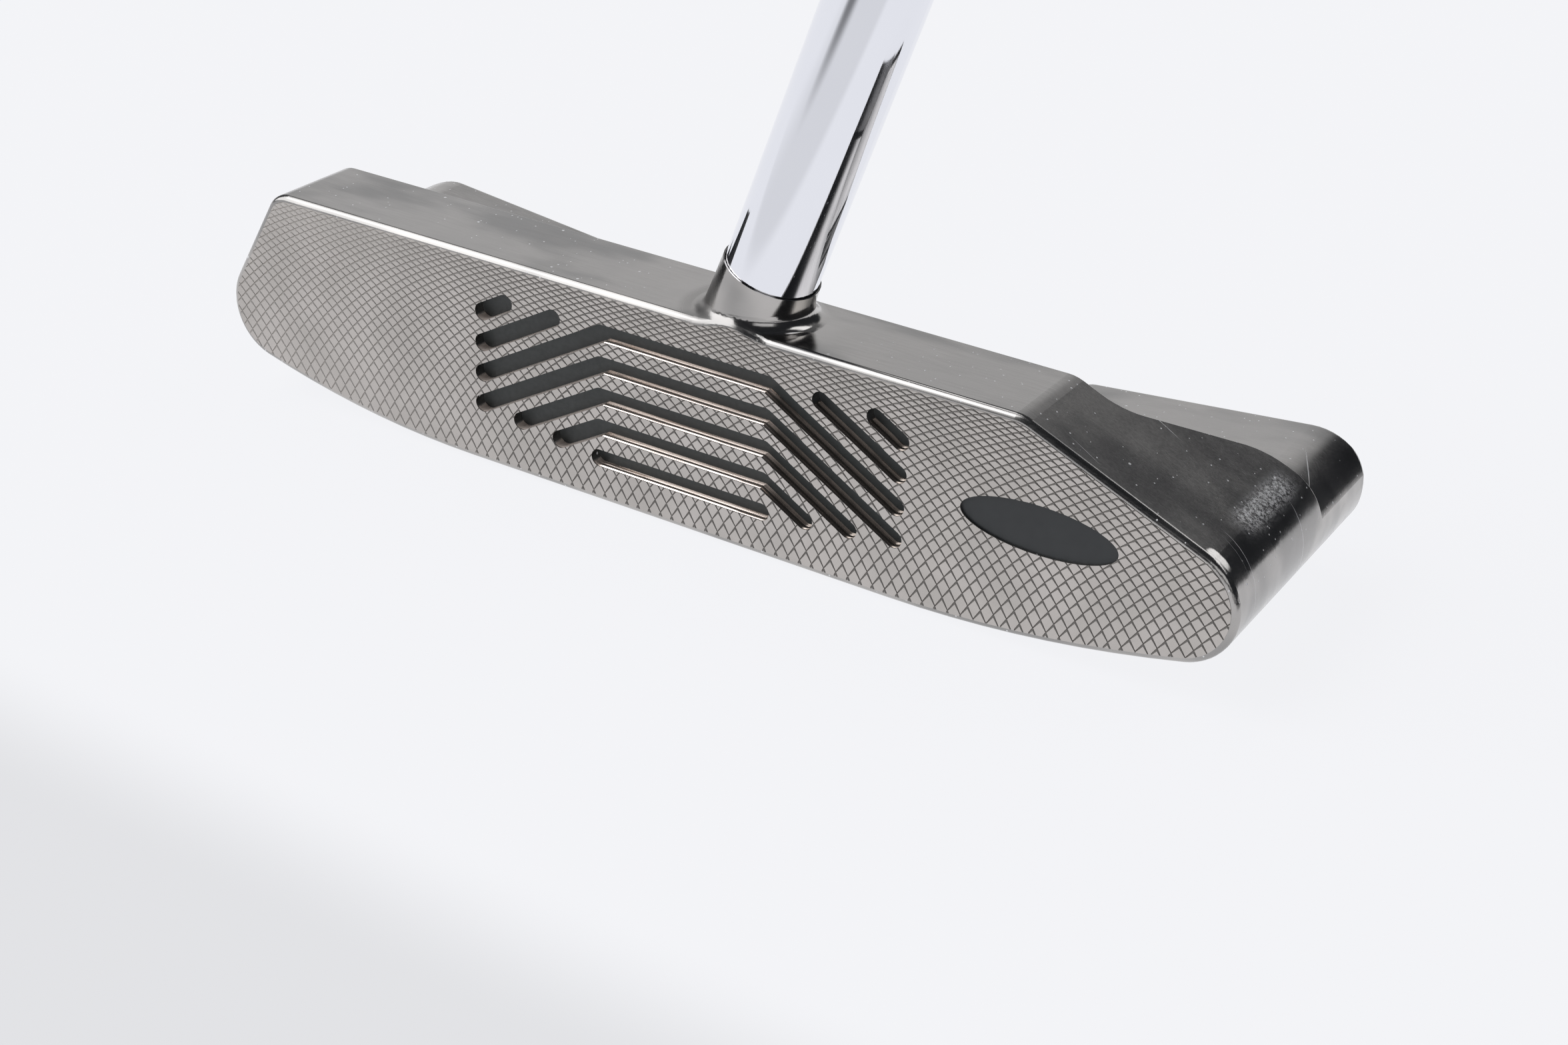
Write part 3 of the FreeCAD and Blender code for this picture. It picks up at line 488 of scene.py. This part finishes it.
def lean_steel(s, groove, dull):
    """Roll the groove walls' lips and roots towards the face, and round off the heel's worn corner."""
    _, y, _ = s.axes()
    polish = s.largest(s.ramp(y, *ROOT_Y), s.ramp(y, *LIP_Y, 1, 0))
    streaks = s.ramp(s.noise(1, 3, 0.7, s.stretch(STREAK_STRETCH)), 0.34, 0.50, 0.5, 1.0)
    rolled = s.product(groove, polish, streaks, s.opposite(dull))
    corner = s.product(s.ramp(s.distance(WORN_CORNER), *CORNER_FADE, 1, 0), s.band(y, *CORNER_Y))
    s.lean((WALL_ROLL, rolled), (CORNER_TILT, corner))


def steel_material():
    """Satin nickel on milled steel: cloudy polish, fine brushing, wear and burnished groove walls."""
    s = Surface("satin_nickel")
    x, _, _ = s.axes()
    cloud = s.noise(90, 3, 0.55)
    brushing = s.noise(260, 4, 0.6, s.stretch(BRUSHING_STRETCH))
    groove = groove_walls(s)
    dull = s.product(groove, s.ramp(x, *DULL_X, 1, 0))
    worn = steel_wear(s, groove)
    s.set("Base Color", steel_colour(s, cloud, groove, worn))
    metal = s.ramp(worn, 0, 1, 1.0, WORN_METAL, smooth=False)
    s.set("Metallic", s.math("SUBTRACT", metal, s.product(dull, DULL_SHARE)))
    s.set("Roughness", steel_roughness(s, cloud, brushing, groove, worn))
    lean_steel(s, groove, dull)
    s.bump(brushing, distance=0.004 * MM)
    return s.material


# ---------------------------------------------------------------- the other materials

def skin_material():
    """The plates of the milled strike face: warm satin metal, slightly rougher than the head."""
    s = Surface("milled_face", metallic=1.0)
    cloud = s.ramp(s.noise(160, 3), *NOISE_SPAN)
    s.set("Base Color", s.mix(cloud, (0.47, 0.445, 0.42), (0.53, 0.50, 0.475)))
    s.vary_roughness(0.27, 0.36, scale=1500)
    s.bump(s.noise(5200), distance=0.006 * MM)
    return s.material


# where the painted shade in the milled strokes pales towards the toe
PALE_STROKE_X = (-50 * MM, -12 * MM)


def stroke_shade_material():
    """The cut strokes of the milled face: rough metal painted dark as the shade in the cuts, paler towards
    the toe.
    """
    s = Surface("milled_stroke_shade", metallic=1.0)
    x, _, _ = s.axes()
    grain = s.noise(2600)
    # painted shade: the strokes' dark colour stands for the shade that falls in the cuts
    cut = s.mix(grain, (0.15, 0.142, 0.134), (0.21, 0.199, 0.189))
    s.set("Base Color", s.mix(s.ramp(x, *PALE_STROKE_X, 1, 0), cut, (0.41, 0.39, 0.37)))
    s.set("Roughness", s.ramp(grain, *NOISE_SPAN, 0.4, 0.52))
    return s.material


def chrome_material():
    """The shaft's bright, faintly blue chrome."""
    s = Surface("polished_chrome", metallic=1.0)
    s.mottle((0.80, 0.81, 0.86), (0.86, 0.87, 0.91), scale=60)
    s.vary_roughness(0.03, 0.055, scale=420, detail=3)
    return s.material


def polymer_material():
    """The dark polymer in the grooves."""
    s = Surface("charcoal_polymer")
    s.mottle((0.040, 0.044, 0.044), (0.054, 0.060, 0.060), scale=700, detail=3)
    s.vary_roughness(0.42, 0.55, scale=2400)
    s.bump(s.noise(6000), distance=0.01 * MM, strength=0.4)
    return s.material


def enamel_material(name, dark, light):
    """The paint of the face mark or of the sight line."""
    s = Surface(name)
    s.mottle(dark, light, scale=900)
    s.vary_roughness(0.36, 0.48, scale=1800)
    s.bump(s.noise(1600), distance=0.008 * MM)
    return s.material


def epoxy_material():
    """The adhesive round the post."""
    s = Surface("cured_adhesive")
    s.mottle((0.012, 0.011, 0.01), (0.03, 0.026, 0.02), scale=1500)
    s.vary_roughness(0.2, 0.4, scale=3000)
    return s.material


def cap_material():
    """The hard black plastic of the grip's cap."""
    s = Surface("cap_plastic")
    s.mottle((0.014, 0.014, 0.015), (0.022, 0.022, 0.023), scale=800, detail=3)
    s.vary_roughness(0.34, 0.46, scale=2600)
    s.bump(s.noise(5000), distance=0.01 * MM, strength=0.4)
    return s.material


def tape_material():
    """The straw-coloured tape under the grip."""
    s = Surface("crepe_tape")
    s.mottle((0.55, 0.48, 0.36), (0.66, 0.60, 0.47), scale=1200, detail=3)
    s.vary_roughness(0.7, 0.85, scale=1500)
    return s.material


GRIP_AXIS = Vector(mounts["grip_hold"]["axis"])
GRIP_CENTRE = Vector(mounts["grip_hold"]["pos_m"])
# the grip's surface lies farther from its axis than this, and its bore nearer
GRIP_INSIDE = 8.3 * MM
# where along the axis the moulded ribs run, and how far apart they stand
RIBBED = (0.636, 0.866)
RIBBED_EDGE = 0.5 * MM
RIB_PITCH = 4.2 * MM
# half the width of the floor of a valley between ribs, and of the whole valley, as shares of the pitch
VALLEY_FLOOR = 0.10
VALLEY_RIM = 0.20
VALLEY_DEPTH = 0.4 * MM


def rubber_material():
    """Black rubber with painted shade in the valleys between its ribs, where it is darkest."""
    s = Surface("grip_rubber")
    run = s.vector("DOT_PRODUCT", s.place, GRIP_AXIS)
    off_centre = s.math("PINGPONG", s.math("DIVIDE", run, RIB_PITCH), 0.5)
    rise = s.ramp(off_centre, VALLEY_FLOOR, VALLEY_RIM)
    # painted shade: the valleys between the ribs are darkened towards black
    valley = s.product(s.band(run, *RIBBED, RIBBED_EDGE), s.opposite(rise))
    rubber = s.mix(s.noise(500, 4), (0.014, 0.014, 0.015), (0.028, 0.028, 0.029))
    s.set("Base Color", s.mix(valley, rubber, (0.005, 0.005, 0.005)))
    s.vary_roughness(0.50, 0.68, scale=1400, detail=3)
    s.bump(s.noise(7000, 3), distance=0.03 * MM)
    return s.material


def dress_cad_parts():
    """A material for every CAD node: the fills share the polymer, and each other node has its own."""
    polymer = polymer_material()
    looks = {
        "putter_head": steel_material(),
        "face_mark_paint": enamel_material("charcoal_enamel", (0.014, 0.016, 0.018), (0.022, 0.025, 0.027)),
        "sight_line_paint": enamel_material("white_enamel", (0.72, 0.72, 0.70), (0.8, 0.8, 0.78)),
        "hosel_epoxy": epoxy_material(),
        "shaft": chrome_material(),
        "grip_tape": tape_material(),
        "grip": rubber_material(),
        "grip_cap": cap_material(),
    }
    for name, node in nodes.items():
        node.data.materials.clear()
        node.data.materials.append(looks.get(name, polymer))


# ---------------------------------------------------------------- the grip's moulded ribs

FIRST_VALLEY = math.ceil(RIBBED[0] / RIB_PITCH)
LAST_VALLEY = math.floor(RIBBED[1] / RIB_PITCH)
# corners of the CAD mesh closer than this are one corner, and a cut closer than this to one goes through it
SAME_CORNER = 1e-6
ON_CORNER = 1e-7
# slack for the corners on the edges of a valley's floor, as a share of the pitch
FLOOR_SLACK = 0.01
SMOOTH_ANGLE = math.radians(24)


def on_valley_floor(place):
    """Whether a corner of the grip's mesh lies on its outside and on the floor of a valley."""
    steps = place.dot(GRIP_AXIS) / RIB_PITCH
    away = place - GRIP_CENTRE
    across = (away - GRIP_AXIS * away.dot(GRIP_AXIS)).length
    ribbed = FIRST_VALLEY - 0.5 < steps < LAST_VALLEY + 0.5
    return ribbed and abs(steps - round(steps)) < VALLEY_FLOOR + FLOOR_SLACK and across > GRIP_INSIDE


def ribbed_grip():
    """The grip with shallow valleys moulded across it between its ribs."""
    plain = nodes["grip"].data
    bm = bmesh.new()
    corners = [bm.verts.new(vertex.co) for vertex in plain.vertices]
    for polygon in plain.polygons:
        bm.faces.new([corners[i] for i in polygon.vertices])
    bmesh.ops.remove_doubles(bm, verts=bm.verts[:], dist=SAME_CORNER)
    for valley in range(FIRST_VALLEY, LAST_VALLEY + 1):
        for edge in (-VALLEY_RIM, -VALLEY_FLOOR, VALLEY_FLOOR, VALLEY_RIM):
            everything = bm.verts[:] + bm.edges[:] + bm.faces[:]
            spot = GRIP_AXIS * (valley + edge) * RIB_PITCH
            bmesh.ops.bisect_plane(bm, geom=everything, dist=ON_CORNER, plane_co=spot, plane_no=GRIP_AXIS)
    bm.normal_update()
    sunk = [(vertex, vertex.normal.copy()) for vertex in bm.verts if on_valley_floor(vertex.co)]
    for vertex, outward in sunk:
        vertex.co -= outward * VALLEY_DEPTH
    for edge in bm.edges:
        edge.smooth = edge.calc_face_angle(0) < SMOOTH_ANGLE
    for face in bm.faces:
        face.smooth = True
    mesh = bpy.data.meshes.new("ribbed_grip")
    bm.to_mesh(mesh)
    bm.free()
    mesh.materials.append(nodes["grip"].material_slots[0].material)
    grip = bpy.data.objects.new("ribbed_grip", mesh)
    bpy.context.scene.collection.objects.link(grip)
    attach(grip, "root")
    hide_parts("grip")


# ---------------------------------------------------------------- the milled strike face

# arcs of one radius, whose centres stand in a row below the sole
HATCH_PITCH = 1.36 * MM
HATCH_RADIUS = 47.2 * MM
HATCH_CENTRE_DROP = 21.4 * MM
# the widths of the walls round a plate: the two wide ones are the dark stroke, which thins to a tail
UPPER_WALL = 0.17 * MM
LOWER_WALL = 0.05 * MM
STROKE_TAIL = 0.35
# heights in front of the CAD face, and how far the skin's rim reaches back behind it
PLATE_HEIGHT = 0.07 * MM
STROKE_FLOOR = 0.006 * MM
RIM_ROOT = 0.05 * MM
# what counts as a part of the flat face, and how finely its corners are told apart, in steps per metre
FACE_NORMAL_Y = -0.999
FACE_TOLERANCE = 0.002 * MM
CORNER_STEPS = 1e7
# the side of the squares in which faces are filed while the sheet is cut, and lengths that count as nothing
BIN = 2.5 * MM
NO_LENGTH = 1e-7
ON_LINE = 1e-8
STROKE_SLOT = 1


def face_boundary(head):
    """The straight pieces of every edge of the head's flat strike face, as pairs of (x, z)."""
    mesh = head.data
    count = defaultdict(int)
    ends = {}
    for polygon in mesh.polygons:
        corners = [mesh.vertices[i].co for i in polygon.vertices]
        off_face = any(abs(corner.y - FACE_Y) > FACE_TOLERANCE for corner in corners)
        if off_face or polygon.normal.y > FACE_NORMAL_Y:
            continue
        for a, b in zip(corners, corners[1:] + corners[:1]):
            key = frozenset((round(end.x * CORNER_STEPS), round(end.z * CORNER_STEPS)) for end in (a, b))
            count[key] += 1
            ends[key] = ((a.x, a.z), (b.x, b.z))
    return [ends[key] for key, uses in count.items() if uses == 1 and len(key) == 2]


def hatch_point(a, b):
    """Where two arcs of the milling pattern cross, as (x, z)."""
    reach = HATCH_PITCH / 2 * (b - a)
    return HATCH_PITCH / 2 * (a + b), math.sqrt(HATCH_RADIUS ** 2 - reach ** 2) - HATCH_CENTRE_DROP


def wall_share(width, a, b):
    """The width of a stroke's wall, as a share of the spacing of the arcs at a crossing."""
    _, z = hatch_point(a, b)
    steep = (z + HATCH_CENTRE_DROP) / (HATCH_PITCH / 2 * (b - a))
    return width * math.hypot(1, steep) / HATCH_PITCH


def plate_corners(a, b):
    """The corners of the plate between arcs a and a + 1 one way and b and b + 1 the other, as (x, z)."""
    upper = wall_share(UPPER_WALL, a + 0.5, b + 0.5)
    lower = wall_share(LOWER_WALL, a + 0.5, b + 0.5)
    tail = upper * STROKE_TAIL
    steps = ((lower, tail), (1 - upper, upper), (1 - tail, 1 - lower), (lower, 1 - lower))
    return [hatch_point(a + along, b + across) for along, across in steps]


def hatch_cells(bm, low, high):
    """Plates between two families of milled arcs, a little past the face on every side."""
    shared = {}

    def ground(a, b):
        if (a, b) not in shared:
            x, z = hatch_point(a, b)
            shared[a, b] = bm.verts.new((x, FACE_Y - STROKE_FLOOR, z))
        return shared[a, b]

    span = [math.sqrt(HATCH_RADIUS ** 2 - (z + HATCH_CENTRE_DROP) ** 2) for z in (high[1], low[1])]
    steps = [2 * reach / HATCH_PITCH for reach in span]
    sums = [2 * low[0] / HATCH_PITCH, 2 * high[0] / HATCH_PITCH]
    for a in range(math.floor((sums[0] - steps[1]) / 2) - 1, math.ceil((sums[1] - steps[0]) / 2) + 1):
        for b in range(math.floor(a + steps[0]) - 2, math.ceil(a + steps[1]) + 2):
            if not sums[0] - 2 < a + b < sums[1] + 1:
                continue
            outer = [ground(a, b), ground(a + 1, b), ground(a + 1, b + 1), ground(a, b + 1)]
            inner = [bm.verts.new((x, FACE_Y - PLATE_HEIGHT, z)) for x, z in plate_corners(a, b)]
            bm.faces.new(inner)
            for k in range(4):
                n = (k + 1) % 4
                wall = bm.faces.new((outer[k], outer[n], inner[n], inner[k]))
                if k < 2:
                    wall.material_index = STROKE_SLOT


def crosses(face, start, along, normal, length):
    """Whether a straight piece of the boundary passes through a face."""
    sides = [(vertex.co - start).dot(normal) for vertex in face.verts]
    spots = [(vertex.co - start).dot(along) for vertex in face.verts]
    return min(sides) < -ON_LINE and max(sides) > ON_LINE and max(spots) > 0 and min(spots) < length


def cut_along(bm, segments):
    """Cut the sheet's faces wherever a piece of the boundary crosses them."""
    bins = defaultdict(dict)

    def file_face(face):
        centre = face.calc_center_median()
        bins[round(centre.x / BIN), round(centre.z / BIN)][face] = True

    for face in bm.faces:
        file_face(face)
    for (x0, z0), (x1, z1) in segments:
        along = Vector((x1 - x0, 0, z1 - z0))
        length = along.length
        if length < NO_LENGTH:
            continue
        along /= length
        normal = Vector((-along.z, 0, along.x))
        start = Vector((x0, 0, z0))
        near = {}
        for step in range(math.ceil(length / BIN) + 1):
            spot = start + along * min(length, step * BIN)
            column, row = round(spot.x / BIN), round(spot.z / BIN)
            for dx in (-1, 0, 1):
                for dz in (-1, 0, 1):
                    near |= bins[column + dx, row + dz]
        crossed = [face for face in near if face.is_valid and crosses(face, start, along, normal, length)]
        if not crossed:
            continue
        verts = dict.fromkeys(vertex for face in crossed for vertex in face.verts)
        edges = dict.fromkeys(edge for face in crossed for edge in face.edges)
        geometry = [*verts, *edges, *crossed]
        made = bmesh.ops.bisect_plane(bm, geom=geometry, dist=ON_LINE, plane_co=start, plane_no=normal)
        for item in made["geom"]:
            if isinstance(item, bmesh.types.BMFace) and item.is_valid:
                file_face(item)


def inside(x, z, segments):
    """Even-odd test against the face's boundary."""
    crossings = 0
    for (x0, z0), (x1, z1) in segments:
        if (z0 > z) != (z1 > z) and x < x0 + (z - z0) / (z1 - z0) * (x1 - x0):
            crossings += 1
    return crossings % 2 == 1


def drop_outside(bm, segments):
    """Delete the faces whose centre lies off the strike face."""
    rows = defaultdict(list)
    for pair in segments:
        low, high = sorted(z for _, z in pair)
        for row in range(math.floor(low / BIN), math.floor(high / BIN) + 1):
            rows[row].append(pair)
    gone = []
    for face in bm.faces:
        centre = face.calc_center_median()
        if not inside(centre.x, centre.z, rows[math.floor(centre.z / BIN)]):
            gone.append(face)
    bmesh.ops.delete(bm, geom=gone, context="FACES")


def mill_face():
    """The cross-hatched skin of the strike face, cut to the CAD face and its grooves."""
    segments = face_boundary(nodes["putter_head"])
    xs = [x for pair in segments for x, _ in pair]
    zs = [z for pair in segments for _, z in pair]
    bm = bmesh.new()
    hatch_cells(bm, (min(xs), min(zs)), (max(xs), max(zs)))
    cut_along(bm, segments)
    drop_outside(bm, segments)
    rim = [edge for edge in bm.edges if len(edge.link_faces) == 1]
    walls = bmesh.ops.extrude_edge_only(bm, edges=rim)
    for item in walls["geom"]:
        if isinstance(item, bmesh.types.BMVert):
            item.co.y = FACE_Y + RIM_ROOT
    bmesh.ops.recalc_face_normals(bm, faces=bm.faces)
    mesh = bpy.data.meshes.new("face_hatch")
    bm.to_mesh(mesh)
    bm.free()
    mesh.materials.append(skin_material())
    mesh.materials.append(stroke_shade_material())
    skin = bpy.data.objects.new("face_hatch", mesh)
    bpy.context.scene.collection.objects.link(skin)
    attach(skin, "root")


aim_camera()
lay_floor()
light_studio()
dress_cad_parts()
ribbed_grip()
mill_face()
